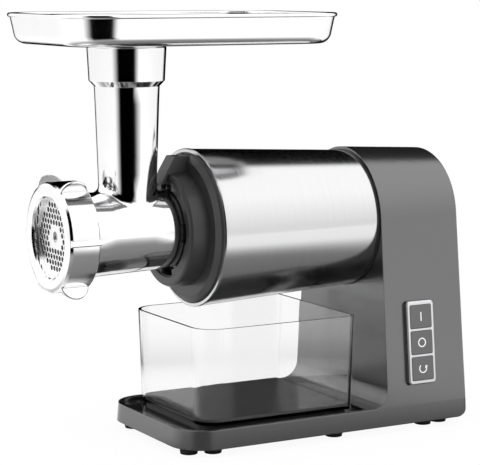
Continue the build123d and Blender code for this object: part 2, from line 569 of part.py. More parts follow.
# ---------------------------------------------------------------- head
def make_head_casting():
    """The cast head: a horizontal tube for the auger, an upright feed tube and four bayonet lugs."""
    tube = turned((0, -5.0), (HEAD_SPIGOT_R, -5.0), (HEAD_SPIGOT_R, SPIGOT_FRONT),
                  (HEAD_REAR_R, SPIGOT_FRONT - 1), (HEAD_REAR_R, -28.0), (HEAD_FRONT_R, -90.0),
                  (MOUTH_R, MOUTH_REAR), (MOUTH_R, MOUTH_FRONT + 1), (MOUTH_R - 1, MOUTH_FRONT),
                  (0, MOUTH_FRONT))
    throat = spun_up((0, 0), (21.0, 0), (THROAT_LOW_R, 32), (THROAT_HIGH_R, 109), (CUP_LOW_R, CUP_BOTTOM),
                     (CUP_TOP_R, CUP_TOP - 0.8), (CUP_TOP_R - 0.8, CUP_TOP), (0, CUP_TOP))
    head = tube + Pos(0, THROAT_Y, 0) * throat
    saddle = [e for e in head.edges() if e.center().Z > 15 and e.bounding_box().max.Z < 34
              and e.bounding_box().size.X > 30 and abs(e.center().Y - THROAT_Y) < 14]
    head = fillet(saddle, 6.0)
    lug = sector(HEAD_SPIGOT_R - 1.5, LUG_R, LUG_ANGLE, GROOVE_FRONT + 0.8, GROOVE_REAR - 0.8)
    head = head + spread(lug, [LUG_OFFSET + a for a in range(0, 360, 360 // BAYONET_COUNT)])
    bore = rod(HEAD_BORE_R, -99.0, -27.0) + rod(PLATE_SEAT_R, -120.0, -98.6) + rod(HEAD_BUSH_R, -28.0, 0)
    drop = spun_up((0, 0), (18.6, 0), (19.2, 32), (21.8, 112), (21.8, 116), (26.0, 117), (27.0, CUP_TOP + 1),
                   (0, CUP_TOP + 1))
    head = head - bore - Pos(0, THROAT_Y, 0) * drop
    head = head - rod(KEY_PIN_R, -108.6, -104.0, 0, KEY_PIN_Z)
    save("head_casting", head)
    save("head_bush", ring(HEAD_BUSH_R, AUGER_JOURNAL_R + RUN, -26.9, -5.2))
    save("plate_key_pin", rod(KEY_PIN_R, -108.4, -104.0, 0, KEY_PIN_Z))


def make_auger():
    """The feed screw: a core, one helical flight, a square tail, a square for the knife and a pin."""
    core = turned((0, -28.0), (13.0, -28.0), (9.5, -97.0), (0, -97.0))
    turns = Helix(pitch=-22.0, height=66.0, radius=17.0)
    section = Plane(turns @ 0, x_dir=(1, 0, 0), z_dir=turns % 0)
    blade = section * Polyline((-9.5, -3.2), (8.6, -1.5), (8.6, 1.5), (-9.5, 3.2), close=True)
    flight = sweep(make_face(blade), path=turns, is_frenet=True)
    flight = Pos(0, -30.5, 0) * Rot(90, 0, 0) * flight
    flight = flight & rod(25.6, -98.0, -27.4)
    journal = rod(AUGER_JOURNAL_R, -28.5, -4.6)
    tail = block(-SQUARE_HALF, SQUARE_HALF, -5.0, 12.0, -SQUARE_HALF, SQUARE_HALF)
    nose = block(-4.4, 4.4, -104.9, -96.5, -4.4, 4.4)
    pin = rod(AUGER_PIN_R, -108.4, -104.5)
    save("auger", core + flight + journal + tail + nose + pin)


def make_knife():
    """Four swept blades that turn against the back of the cutting plate."""
    blade = block(0, 28.0, -104.8, -99.6, -4.0, 4.0)
    blade = blade - Pos(16, -99.6, 4.6) * Rot(40, 0, 0) * Box(34, 6, 3.6)
    knife = rod(10.0, -104.8, -99.6)
    for a in range(0, 360, 90):
        knife = knife + around(a, blade)
    save("knife", knife - block(-4.5, 4.5, -110, -95, -4.5, 4.5))


def make_cutting_plate():
    """The outlet plate: a hexagonal field of holes round a solid hub."""
    row_step = HOLE_PITCH * sqrt(3) / 2
    holes = []
    for row in range(-6, 7):
        for column in range(-6, 7):
            x = (column + (0.5 if row % 2 == 0 else 0.0)) * HOLE_PITCH
            z = (row + 0.5) * row_step
            if HUB_R + HOLE_R < hypot(x, z) and hypot(x, z) + HOLE_R < HOLE_FIELD_R + HOLE_R:
                holes.append(rod(HOLE_R, -111, -104, x, z))
    plate = rod(PLATE_R, PLATE_FRONT, PLATE_FRONT + PLATE_THICK)
    plate = plate - holes - rod(AUGER_PIN_R + RUN, -111, -104)
    plate = plate - rod(KEY_PIN_R + 0.3, -111, -104, 0, KEY_PIN_Z)
    save("cutting_plate", plate)


def make_ring_nut():
    shoulder = PLATE_FRONT - 0.05
    nut = turned((NUT_THREAD_R, NUT_REAR), (NUT_R - 1.2, NUT_REAR), (NUT_R, NUT_REAR - 1.2), (NUT_R, -113.6),
                 (NUT_R - 1.0, -115.8), (NUT_R - 3.2, NUT_FRONT), (31.8, NUT_FRONT), (30.4, -116.0),
                 (NUT_OPENING_R, -114.4), (NUT_OPENING_R, shoulder), (NUT_THREAD_R, shoulder))
    middle = (NUT_FRONT + NUT_REAR) / 2
    outline = Pos(NUT_R - 1.5, middle) * Ellipse(EAR_RISE + 1.5, EAR_HALF_LENGTH)
    ear = extrude(outline, EAR_THICK / 2, both=True)
    ear = fillet(ear.edges().filter_by(GeomType.ELLIPSE), 1.1)
    ear = ear & block(NUT_R - 2.0, 80, -130, -80, -10, 10)
    rib = fillet(block(NUT_R - 1.5, NUT_R + 1.8, -115.4, NUT_REAR, -2.4, 2.4).edges().filter_by(Axis.Y), 0.9)
    nut = nut + spread(ear, EAR_ANGLES) + spread(rib, (0, 180))
    save("ring_nut", nut)


def pan_solid(inset):
    """The pan's outside shape, or its inside when the sheet's thickness is taken off."""
    rise = PAN_RIM - PAN_BOTTOM
    lean_in = rise * tan(radians(PAN_WALL_LEAN))
    inward = LIP_R + lean_in + inset
    half = PAN_HALF - inward
    y0 = PAN_FRONT + inward
    y1 = PAN_REAR - inward
    corner = PAN_CORNER - inward
    base = plan(half, y0, y1, corner, corner, PAN_BOTTOM + inset)
    shape = extrude(base, rise - inset + (1 if inset else 0), taper=-PAN_WALL_LEAN)
    return fillet(shape.edges().group_by(Axis.Z)[0], PAN_BOTTOM_R - inset)


def make_pan():
    """A pressed tray with a rolled lip, and a short neck that drops into the feed tube's cup."""
    tray = pan_solid(0) - pan_solid(SHEET)
    corner = PAN_CORNER - LIP_R
    outline = plan(PAN_HALF - LIP_R, PAN_FRONT + LIP_R, PAN_REAR - LIP_R, corner, corner, PAN_RIM)
    path = outline.face().outer_wire()
    bead = sweep(Plane(path @ 0, z_dir=path % 0) * Circle(LIP_R), path=path)
    hole = Pos(0, THROAT_Y, PAN_BOTTOM) * Cylinder(SPIGOT_BORE_R, 10)
    save("food_pan", tray + bead - hole)
    neck = spun_up((SPIGOT_BORE_R, 124.0), (NECK_R - 0.2, 124.0), (NECK_R, 125.0), (NECK_R, PAN_BOTTOM),
                   (SPIGOT_BORE_R, PAN_BOTTOM))
    save("pan_neck", Pos(0, THROAT_Y, 0) * neck)


def main():
    make_gears()
    make_countershaft()
    make_output_shaft()
    make_gearbox()
    make_rotor()
    make_motor()
    make_drum()
    make_front_panel()
    make_head_socket()
    make_latch()
    make_body_shell()
    make_base()
    make_storage_box()
    make_controls()
    make_electronics()
    make_head_casting()
    make_auger()
    make_knife()
    make_cutting_plate()
    make_ring_nut()
    make_pan()


main()
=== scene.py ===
# %% [markdown]
# # An electric meat grinder in its finishes
# The machine is a moulded column and plinth that carry a brushed steel drum. The motor and its
# gears are in the drum. A polished head plugs into the drum's front, with a feed screw, a knife
# and a cutting plate inside it. A steel pan sits on top and a clear box stands on the plinth.
# The working model, with its sizes and joints, is loaded first. Everything below dresses it:
# materials for its pieces, and new meshes where a finer shape is worth having.

# %% Load the working model
import json
from math import atan2, cos, pi, radians, sin, sqrt

import bmesh
import bpy
from mathutils import Euler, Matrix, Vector


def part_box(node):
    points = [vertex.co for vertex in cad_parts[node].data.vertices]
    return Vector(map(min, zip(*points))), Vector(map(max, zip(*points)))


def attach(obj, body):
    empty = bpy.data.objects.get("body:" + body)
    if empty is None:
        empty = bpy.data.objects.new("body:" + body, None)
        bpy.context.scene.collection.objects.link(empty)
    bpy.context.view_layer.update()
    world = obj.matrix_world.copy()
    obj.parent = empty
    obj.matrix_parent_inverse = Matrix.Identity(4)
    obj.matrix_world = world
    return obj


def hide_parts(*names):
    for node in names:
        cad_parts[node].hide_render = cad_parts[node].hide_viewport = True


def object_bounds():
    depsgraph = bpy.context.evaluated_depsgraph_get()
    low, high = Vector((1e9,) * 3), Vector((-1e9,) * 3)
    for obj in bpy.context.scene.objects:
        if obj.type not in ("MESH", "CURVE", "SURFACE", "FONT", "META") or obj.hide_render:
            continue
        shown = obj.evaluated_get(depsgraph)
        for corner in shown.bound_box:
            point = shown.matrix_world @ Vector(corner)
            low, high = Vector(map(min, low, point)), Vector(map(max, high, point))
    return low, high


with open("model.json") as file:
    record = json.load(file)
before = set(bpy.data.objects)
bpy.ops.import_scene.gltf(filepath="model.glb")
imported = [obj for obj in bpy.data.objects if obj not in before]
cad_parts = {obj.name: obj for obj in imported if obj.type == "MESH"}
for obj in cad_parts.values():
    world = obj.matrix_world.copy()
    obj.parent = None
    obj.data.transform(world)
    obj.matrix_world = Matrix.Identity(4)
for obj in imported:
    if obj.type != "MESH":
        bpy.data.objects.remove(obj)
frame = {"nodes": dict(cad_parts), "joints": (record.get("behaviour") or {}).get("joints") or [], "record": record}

nodes = frame["nodes"]
joints = {joint["name"]: joint for joint in frame["joints"]}
cad_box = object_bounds()
print("pieces in the working model:", len(nodes))

# %% [markdown]
# ## Measures
# A dressed piece has to land where the working model has it. So places are read from the
# pieces themselves: a box round a piece gives its axis, its ends and its radius. Only the
# sizes that no box can tell, such as a hole's pitch, are written here as numbers.

# %% Measures that several pieces share
MM = 0.001
low, high = (Vector(corner) for corner in cad_box)
middle = (low + high) / 2
drum_low, drum_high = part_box("drum_shell")
drum_axis = (drum_low + drum_high) / 2
print("size in mm:", [round(length / MM, 1) for length in high - low])

# %% [markdown]
# ## The camera
# A long lens from 1.4 m away keeps the upright lines nearly parallel, as in a catalogue view.
# The camera looks at the machine from its front right corner and a little from above. It is
# placed by an aim point, a turn, a tip and a distance, because those four can be judged by
# eye, one at a time.

# %% Camera
AIM_BELOW_DRUM = 6.6 * MM
AIM_BEFORE_DRUM = 24.4 * MM
CAMERA_TURN = radians(60.737)
CAMERA_TIP = radians(7.636)
CAMERA_DISTANCE = 1.4335
LENS = 139.35

camera = bpy.data.objects.new("camera", bpy.data.cameras.new("camera"))
bpy.context.scene.collection.objects.link(camera)
bpy.context.scene.camera = camera
camera.data.lens = LENS
camera.data.sensor_width = 36.0
camera.data.clip_end = 200.0
aim = drum_axis - Vector((0, AIM_BEFORE_DRUM, AIM_BELOW_DRUM))
turn = Euler((pi / 2 - CAMERA_TIP, 0, CAMERA_TURN))
backward = turn.to_matrix() @ Vector((0, 0, 1))
camera.location = aim + backward * CAMERA_DISTANCE
camera.rotation_euler = turn
camera_bearing = atan2(backward.y, backward.x)
bpy.context.scene.view_settings.view_transform = "Standard"
print("camera at", [round(value, 3) for value in camera.location])

# %% [markdown]
# ## Two helpers for node trees
# Every finish and every rule-made shape is a tree of nodes. place() adds one node, sets its
# options and fills its inputs, and a socket handed in as a value is linked. reckon() is the
# same for one sum. new_group() starts a group with named inputs and outputs, so that one
# effect can be built once and then used by many finishes with their own values.

# %% Helpers for node trees
def place(tree, kind, inputs=None, **options):
    """Adds a node, sets its options, and fills or links its inputs."""
    node = tree.nodes.new(kind)
    for option, value in options.items():
        setattr(node, option, value)
    for key, value in (inputs or {}).items():
        if isinstance(value, bpy.types.NodeSocket):
            tree.links.new(value, node.inputs[key])
        else:
            node.inputs[key].default_value = value
    return node


def reckon(tree, operation, first, second=0.0, clamp=False):
    """One sum on numbers; returns its output socket."""
    node = place(tree, "ShaderNodeMath", {0: first, 1: second}, operation=operation, use_clamp=clamp)
    return node.outputs[0]


def spread_over(tree, value, start, end, out_start=0.0, out_end=1.0, smooth=False):
    """Maps a value from one range to another, clamped; returns the output socket."""
    node = place(tree, "ShaderNodeMapRange",
                 {"Value": value, "From Min": start, "From Max": end, "To Min": out_start, "To Max": out_end},
                 interpolation_type="SMOOTHSTEP" if smooth else "LINEAR")
    return node.outputs[0]


def new_group(name, inputs, outputs, kind="ShaderNodeTree"):
    """Starts a node group; inputs are {name: (type, default)} and outputs are {name: type}."""
    tree = bpy.data.node_groups.new(name, kind)
    for label, (socket_type, default) in inputs.items():
        socket = tree.interface.new_socket(label, in_out="INPUT", socket_type="NodeSocket" + socket_type)
        if default is not None:
            socket.default_value = default
    for label, socket_type in outputs.items():
        tree.interface.new_socket(label, in_out="OUTPUT", socket_type="NodeSocket" + socket_type)
    given = tree.nodes.new("NodeGroupInput").outputs
    result = tree.nodes.new("NodeGroupOutput").inputs
    return tree, given, result


# %% [markdown]
# ## The studio
# Polished metal looks like what stands round it. So the studio is a white tent with two dark
# cards: a narrow one beside the camera, which draws the dark stripe down the middle of every
# bright tube, and a wide one behind the machine, which draws the thin dark outline at its
# edges. The tent is the world's colour, set by the bearing of each ray, and only mirror-like
# rays see the cards. Plain rays see even white, and the camera sees a clean white ground.

# %% Studio tent
CARD_EDGES = ((-180, 0), (-150, 0), (-140, 1), (-41, 1), (-23, 0),
              (23, 0), (38, 1), (138, 1), (148, 0), (180, 0))
PLAIN_LIGHT = 1.05
TENT_AT_HORIZON = 1.02
TENT_OVERHEAD = 1.38
CARDS_FADE = (0.78, 0.92)


def card_mask(tree, position, edges):
    """1 where the tent is white and 0 behind a card, by the bearing from the camera's."""
    split = place(tree, "ShaderNodeSeparateXYZ", {0: position})
    bearing = reckon(tree, "ARCTAN2", split.outputs["Y"], split.outputs["X"])
    turned = reckon(tree, "SUBTRACT", bearing, camera_bearing)
    share = reckon(tree, "FRACT", reckon(tree, "ADD", reckon(tree, "DIVIDE", turned, 2 * pi), 0.5))
    ramp = place(tree, "ShaderNodeValToRGB", {"Fac": share})
    stops = ramp.color_ramp.elements
    for stop, (_, white) in zip(stops, (edges[0], edges[-1])):
        stop.color = (white, white, white, 1)
    for degrees_from_camera, white in edges[1:-1]:
        stops.new((degrees_from_camera + 180) / 360).color = (white, white, white, 1)
    return ramp.outputs["Color"]


def clear_view(tree):
    """1 for rays that come straight from the camera, also through clear plastic."""
    path = place(tree, "ShaderNodeLightPath").outputs
    unbounced = reckon(tree, "LESS_THAN", path["Glossy Depth"], 0.5)
    through = reckon(tree, "MULTIPLY", path["Is Transmission Ray"], unbounced)
    return reckon(tree, "MAXIMUM", path["Is Camera Ray"], through)


def build_tent():
    world = bpy.data.worlds.new("tent")
    bpy.context.scene.world = world
    world.use_nodes = True
    tree = world.node_tree
    tree.nodes.clear()
    direction = place(tree, "ShaderNodeTexCoord").outputs["Generated"]
    height = place(tree, "ShaderNodeSeparateXYZ", {0: direction}).outputs["Z"]
    cards = card_mask(tree, direction, CARD_EDGES)
    overhead = spread_over(tree, height, *CARDS_FADE, smooth=True)
    white = reckon(tree, "MAXIMUM", cards, overhead)
    level = spread_over(tree, height, 0.0, 0.6, TENT_AT_HORIZON, TENT_OVERHEAD)
    tent = reckon(tree, "MULTIPLY", white, level)
    path = place(tree, "ShaderNodeLightPath").outputs
    plain = place(tree, "ShaderNodeMix", {0: path["Is Diffuse Ray"], 2: tent, 3: PLAIN_LIGHT})
    seen = place(tree, "ShaderNodeMix", {0: clear_view(tree), 2: plain.outputs[0], 3: 1.0})
    background = place(tree, "ShaderNodeBackground", {"Color": seen.outputs[0]})
    place(tree, "ShaderNodeOutputWorld", {"Surface": background.outputs[0]})


build_tent()
print("tent built, dark cards beside the camera and behind the machine")

# %% [markdown]
# ## The floor and the lights
# The floor is one large pale sheet. It takes the machine's real soft shadow, and it is clean
# white to the camera. In mirror-like rays its colour also carries a painted shade: it is grey
# close to the machine on its button side, which lies in its shade, and further out the dark
# cards go on across it. Both show in the mirror-like surfaces above it. Two broad lights, one
# overhead and one to the side, give the matt pieces a direction, and they don't show as shapes
# in the metal.

# %% Floor and lights
FLOOR_HALF = 30.0
SHADE_EDGES = ((-180, 1), (-70, 1), (-30, 0), (130, 0), (160, 1), (180, 1))
FLOOR_GLOW = 0.94
FLOOR_WHITE = 0.90
# Painted shade: the floor's grey close to the machine, seen only in mirror-like rays.
FLOOR_NEAR_PAINTED_SHADE = 0.20
OPEN_REACH = (0.20, 0.34)
NEAR_REACH = 0.22
FAR_REACH = 0.48
OVERHEAD_AT = (0.3, -0.5, 1.8)
OVERHEAD_SIZE = 1.6
OVERHEAD_POWER = 9.0
SIDE_AT = (1.7, 0.6, 1.1)
SIDE_SIZE = 1.2
SIDE_POWER = 5.0


def build_floor():
    mesh = bpy.data.meshes.new("floor")
    corners = [(x * FLOOR_HALF, y * FLOOR_HALF, low.z) for x, y in ((-1, -1), (1, -1), (1, 1), (-1, 1))]
    mesh.from_pydata(corners, [], [(0, 1, 2, 3)])
    floor = bpy.data.objects.new("floor", mesh)
    bpy.context.scene.collection.objects.link(floor)
    material = bpy.data.materials.new("floor_sheet")
    material.use_nodes = True
    tree = material.node_tree
    tree.nodes.clear()
    spot = place(tree, "ShaderNodeTexCoord").outputs["Object"]
    reach = place(tree, "ShaderNodeVectorMath", {0: spot}, operation="LENGTH").outputs["Value"]
    # Painted shade: the floor's colour turns grey close to the machine, where its shadow falls.
    painted_floor_shade = spread_over(tree, reach, NEAR_REACH, FAR_REACH, FLOOR_NEAR_PAINTED_SHADE, FLOOR_WHITE, smooth=True)
    beside = spread_over(tree, reach, *OPEN_REACH, FLOOR_WHITE, 0.0, smooth=True)
    open_side = reckon(tree, "MULTIPLY", card_mask(tree, spot, SHADE_EDGES), beside)
    painted_floor_shading = reckon(tree, "MAXIMUM", painted_floor_shade, open_side)
    far = spread_over(tree, reach, NEAR_REACH, FAR_REACH)
    card = place(tree, "ShaderNodeMix", {0: far, 2: 1.0, 3: card_mask(tree, spot, CARD_EDGES)})
    mirrored = reckon(tree, "MULTIPLY", card.outputs[0], painted_floor_shading)
    glossy = place(tree, "ShaderNodeLightPath").outputs["Is Glossy Ray"]
    # For mirror-like rays the floor's colour carries the painted shade and the cards.
    white = place(tree, "ShaderNodeMix", {0: glossy, 2: FLOOR_WHITE, 3: mirrored}).outputs[0]
    sheet = place(tree, "ShaderNodeBsdfDiffuse", {"Color": white})
    glow = place(tree, "ShaderNodeEmission", {"Strength": 1.0})
    share = reckon(tree, "MULTIPLY", clear_view(tree), FLOOR_GLOW)
    mixed = place(tree, "ShaderNodeMixShader", {0: share, 1: sheet.outputs[0], 2: glow.outputs[0]})
    place(tree, "ShaderNodeOutputMaterial", {"Surface": mixed.outputs[0]})
    mesh.materials.append(material)


def soft_light(name, place_at, size, power):
    light = bpy.data.objects.new(name, bpy.data.lights.new(name, "AREA"))
    bpy.context.scene.collection.objects.link(light)
    light.data.size = size
    light.data.energy = power
    light.location = place_at
    light.rotation_euler = (middle - Vector(place_at)).to_track_quat("-Z", "Y").to_euler()
    light.visible_glossy = False
    light.visible_camera = False


build_floor()
soft_light("overhead_light", OVERHEAD_AT, OVERHEAD_SIZE, OVERHEAD_POWER)
soft_light("side_light", SIDE_AT, SIDE_SIZE, SIDE_POWER)

# %% [markdown]
# ## Effects that several finishes share
# Five effects come back on many pieces. Edges rub bright or pale. Moulded plastic carries the
# fine texture of its tool. Turned, brushed and ground metal carries lines. Hands leave soft
# marks that dull a gloss. A little dust settles on what faces up. Each is a group that puts
# out a mask or a height, and the finish decides what to do with it.

# %% Edge wear
def build_edge_wear():
    """Finds edges by comparing the surface with a rounded copy of itself."""
    tree, given, result = new_group("edge_wear", {"Width": ("Float", 0.0005), "Breakup": ("Float", 700.0)},
                                    {"Mask": "Float"})
    rounded = place(tree, "ShaderNodeBevel", {"Radius": given["Width"]}, samples=4)
    surface = place(tree, "ShaderNodeNewGeometry")
    agreement = place(tree, "ShaderNodeVectorMath",
                      {0: rounded.outputs["Normal"], 1: surface.outputs["Normal"]}, operation="DOT_PRODUCT")
    edge = spread_over(tree, agreement.outputs["Value"], 0.99, 0.88)
    where = place(tree, "ShaderNodeTexCoord").outputs["Object"]
    patches = place(tree, "ShaderNodeTexNoise", {"Vector": where, "Scale": given["Breakup"], "Detail": 3.0})
    broken = spread_over(tree, patches.outputs["Fac"], 0.35, 0.65)
    tree.links.new(reckon(tree, "MULTIPLY", edge, broken), result["Mask"])
    return tree


edge_wear = build_edge_wear()


# %% Moulded grain
def build_moulded_grain():
    """The pebbled skin that a spark-eroded tool leaves on plastic."""
    tree, given, result = new_group("moulded_grain", {"Size": ("Float", 0.0005)},
                                    {"Height": "Float", "Tone": "Float"})
    where = place(tree, "ShaderNodeTexCoord").outputs["Object"]
    density = reckon(tree, "DIVIDE", 1.0, given["Size"])
    pebbles = place(tree, "ShaderNodeTexVoronoi", {"Vector": where, "Scale": density, "Randomness": 0.9},
                    feature="SMOOTH_F1")
    cloud = place(tree, "ShaderNodeTexNoise", {"Vector": where, "Scale": 35.0, "Detail": 3.0})
    tree.links.new(pebbles.outputs["Distance"], result["Height"])
    tree.links.new(cloud.outputs["Fac"], result["Tone"])
    return tree


moulded_grain = build_moulded_grain()


# %% Worked lines
def build_worked_lines():
    """Fine lines from a brush, a lathe or a grinder; Density gives lines per metre across each axis."""
    tree, given, result = new_group("worked_lines", {"Density": ("Vector", (20.0, 4000.0, 20.0))},
                                    {"Height": "Float", "Tone": "Float"})
    where = place(tree, "ShaderNodeTexCoord").outputs["Object"]
    stretched = place(tree, "ShaderNodeVectorMath", {0: where, 1: given["Density"]}, operation="MULTIPLY")
    fine = place(tree, "ShaderNodeTexNoise",
                 {"Vector": stretched.outputs[0], "Scale": 1.0, "Detail": 3.0, "Roughness": 0.65})
    coarse = place(tree, "ShaderNodeTexNoise", {"Vector": stretched.outputs[0], "Scale": 0.06, "Detail": 2.0})
    tree.links.new(fine.outputs["Fac"], result["Height"])
    tree.links.new(coarse.outputs["Fac"], result["Tone"])
    return tree


worked_lines = build_worked_lines()


# %% Hand marks
def build_hand_marks():
    """Soft smears that dull a gloss in patches."""
    tree, given, result = new_group("hand_marks", {"Size": ("Float", 0.05), "Cover": ("Float", 0.5)},
                                    {"Mask": "Float"})
    where = place(tree, "ShaderNodeTexCoord").outputs["Object"]
    density = reckon(tree, "DIVIDE", 1.0, given["Size"])
    smear = place(tree, "ShaderNodeTexNoise",
                  {"Vector": where, "Scale": density, "Detail": 5.0, "Roughness": 0.6, "Distortion": 1.2})
    start = reckon(tree, "SUBTRACT", 0.85, reckon(tree, "MULTIPLY", given["Cover"], 0.5))
    mask = reckon(tree, "MULTIPLY", reckon(tree, "SUBTRACT", smear.outputs["Fac"], start), 4.0, clamp=True)
    tree.links.new(mask, result["Mask"])
    return tree


hand_marks = build_hand_marks()


# %% Settled dust
def build_settled_dust():
    """Specks on what faces up."""
    tree, given, result = new_group("settled_dust", {"Amount": ("Float", 0.3)}, {"Mask": "Float"})
    facing = place(tree, "ShaderNodeSeparateXYZ", {0: place(tree, "ShaderNodeNewGeometry").outputs["Normal"]})
    upward = spread_over(tree, facing.outputs["Z"], 0.55, 1.0)
    where = place(tree, "ShaderNodeTexCoord").outputs["Object"]
    specks = place(tree, "ShaderNodeTexNoise", {"Vector": where, "Scale": 900.0, "Detail": 2.0})
    spots = spread_over(tree, specks.outputs["Fac"], 0.60, 0.72)
    tree.links.new(reckon(tree, "MULTIPLY", reckon(tree, "MULTIPLY", upward, spots), given["Amount"]),
                   result["Mask"])
    return tree


settled_dust = build_settled_dust()
print("shared effects:", [group.name for group in bpy.data.node_groups])

# %% [markdown]
# ## Four recipes for a finish
# The machine's finishes are of four kinds: bare metal, lacquer on metal or plastic, moulded
# plastic or rubber, and clear plastic. Each kind is a function. What stays the same all over
# a piece sits on the shader's own sockets, and the shared effects feed only colour, roughness
# and the normal.

# %% Start of a finish
def start_finish(name, colour, roughness, metallic=0.0, sockets=None):
    """A new material with its steady values on the shader's own sockets."""
    material = bpy.data.materials.new(name)
    material.use_nodes = True
    tree = material.node_tree
    shader = tree.nodes["Principled BSDF"]
    shader.inputs["Base Color"].default_value = (*colour, 1)
    shader.inputs["Roughness"].default_value = roughness
    shader.inputs["Metallic"].default_value = metallic
    for label, value in (sockets or {}).items():
        shader.inputs[label].default_value = value
    return material, tree, shader


def mix_colours(tree, mask, plain, marked):
    """plain where the mask is 0 and marked where it is 1; each is a colour or a socket."""
    steady = [(*colour, 1) if isinstance(colour, tuple) else colour for colour in (plain, marked)]
    return place(tree, "ShaderNodeMix", {0: mask, 6: steady[0], 7: steady[1]}, data_type="RGBA").outputs[2]


def scaled(colour, factor):
    return tuple(min(1.0, channel * factor) for channel in colour)


def set_relief(tree, shader, height, depth, rounding=None):
    """Bumps the surface by a height map, depth metres deep, over edges rounded by that radius."""
    bump = place(tree, "ShaderNodeBump", {"Strength": 1.0, "Distance": depth, "Height": height})
    if rounding:
        rounded = place(tree, "ShaderNodeBevel", {"Radius": rounding}, samples=4)
        tree.links.new(rounded.outputs["Normal"], bump.inputs["Normal"])
    tree.links.new(bump.outputs["Normal"], shader.inputs["Normal"])


# %% Bare metal
def bare_metal(name, colour, roughness, density, depth, marks=0.08, mark_size=0.05, rounding=None):
    """Metal with worked lines; hand marks add to its roughness."""
    material, tree, shader = start_finish(name, colour, roughness, metallic=1.0)
    lines = place(tree, "ShaderNodeGroup", {"Density": density}, node_tree=worked_lines)
    hands = place(tree, "ShaderNodeGroup", {"Size": mark_size, "Cover": 0.5}, node_tree=hand_marks)
    toned = mix_colours(tree, lines.outputs["Tone"], scaled(colour, 0.97), scaled(colour, 1.03))
    dulled = mix_colours(tree, hands.outputs["Mask"], toned, scaled(colour, 0.95))
    tree.links.new(dulled, shader.inputs["Base Color"])
    lined = spread_over(tree, lines.outputs["Tone"], 0.3, 0.7, roughness * 0.85, roughness * 1.15)
    added = reckon(tree, "MULTIPLY", hands.outputs["Mask"], marks)
    tree.links.new(reckon(tree, "ADD", lined, added, clamp=True), shader.inputs["Roughness"])
    set_relief(tree, shader, lines.outputs["Height"], depth, rounding)
    return material


# %% Lacquer
def lacquer(name, colour, roughness, metallic, rounding, wear_colour):
    """A metallic coating with a fine orange peel, rubbed at its edges."""
    material, tree, shader = start_finish(name, colour, roughness, metallic)
    where = place(tree, "ShaderNodeTexCoord").outputs["Object"]
    flakes = place(tree, "ShaderNodeTexNoise", {"Vector": where, "Scale": 2600.0, "Detail": 2.0})
    peel = place(tree, "ShaderNodeTexNoise", {"Vector": where, "Scale": 420.0, "Detail": 1.0})
    hands = place(tree, "ShaderNodeGroup", {"Size": 0.07, "Cover": 0.45}, node_tree=hand_marks)
    worn = place(tree, "ShaderNodeGroup", {"Width": 0.0006, "Breakup": 500.0}, node_tree=edge_wear)
    dust = place(tree, "ShaderNodeGroup", {"Amount": 0.12}, node_tree=settled_dust)
    sparkle = mix_colours(tree, flakes.outputs["Fac"], scaled(colour, 0.88), scaled(colour, 1.12))
    rubbed = mix_colours(tree, reckon(tree, "MULTIPLY", worn.outputs["Mask"], 0.35), sparkle, wear_colour)
    dusted = mix_colours(tree, dust.outputs["Mask"], rubbed, (0.5, 0.49, 0.47))
    tree.links.new(dusted, shader.inputs["Base Color"])
    dull = reckon(tree, "MULTIPLY", hands.outputs["Mask"], 0.07)
    tree.links.new(reckon(tree, "ADD", dull, roughness), shader.inputs["Roughness"])
    set_relief(tree, shader, peel.outputs["Fac"], 0.000006, rounding)
    return material


# %% Moulded plastic and rubber
def moulded(name, colour, roughness, grain_size, grain_depth, rounding=None, dust=0.15):
    """Plastic or rubber with the tool's grain, pale edges and a little dust."""
    material, tree, shader = start_finish(name, colour, roughness)
    grain = place(tree, "ShaderNodeGroup", {"Size": grain_size}, node_tree=moulded_grain)
    worn = place(tree, "ShaderNodeGroup", {"Width": 0.0004, "Breakup": 900.0}, node_tree=edge_wear)
    specks = place(tree, "ShaderNodeGroup", {"Amount": dust}, node_tree=settled_dust)
    hands = place(tree, "ShaderNodeGroup", {"Size": 0.04, "Cover": 0.5}, node_tree=hand_marks)
    toned = mix_colours(tree, grain.outputs["Tone"], scaled(colour, 0.9), scaled(colour, 1.1))
    rubbed = mix_colours(tree, reckon(tree, "MULTIPLY", worn.outputs["Mask"], 0.3), toned,
                         tuple(0.6 * channel + 0.06 for channel in colour))
    dusted = mix_colours(tree, specks.outputs["Mask"], rubbed, (0.45, 0.44, 0.42))
    tree.links.new(dusted, shader.inputs["Base Color"])
    smeared = reckon(tree, "MULTIPLY", hands.outputs["Mask"], 0.08)
    tree.links.new(reckon(tree, "ADD", smeared, roughness), shader.inputs["Roughness"])
    set_relief(tree, shader, grain.outputs["Height"], grain_depth, rounding)
    return material


# %% Clear plastic
def clear_plastic(name, roughness, density):
    """Clear moulded plastic; a little colour inside makes its long edges read darker."""
    material, tree, shader = start_finish(name, (1.0, 1.0, 1.0), roughness,
                                          sockets={"Transmission Weight": 1.0, "IOR": 1.45})
    hands = place(tree, "ShaderNodeGroup", {"Size": 0.05, "Cover": 0.35}, node_tree=hand_marks)
    smeared = reckon(tree, "MULTIPLY", hands.outputs["Mask"], 0.03)
    tree.links.new(reckon(tree, "ADD", smeared, roughness), shader.inputs["Roughness"])
    inside = place(tree, "ShaderNodeVolumeAbsorption", {"Color": (0.55, 0.56, 0.57, 1), "Density": density})
    tree.links.new(inside.outputs[0], tree.nodes["Material Output"].inputs["Volume"])
    return material


# %% [markdown]
# ## The finishes
# One finish for each slot of the machine. The drum is brushed round its length, so its lines
# run round it and change only along it. The head and the nut are polished to a mirror. The
# column and the plinth are one moulding in a satin gunmetal lacquer. Three finishes are extra:
# one for the cutting plate's ground face, one for the plate on the box's floor and one for the
# symbols on the buttons.

# %% Finishes
ROUND_THE_DRUM = (5.0, 5200.0, 5.0)
ROUND_A_SHAFT = (60.0, 3000.0, 60.0)
ALONG_THE_PAN = (900.0, 12.0, 900.0)
EVERY_WAY = (130.0, 130.0, 130.0)

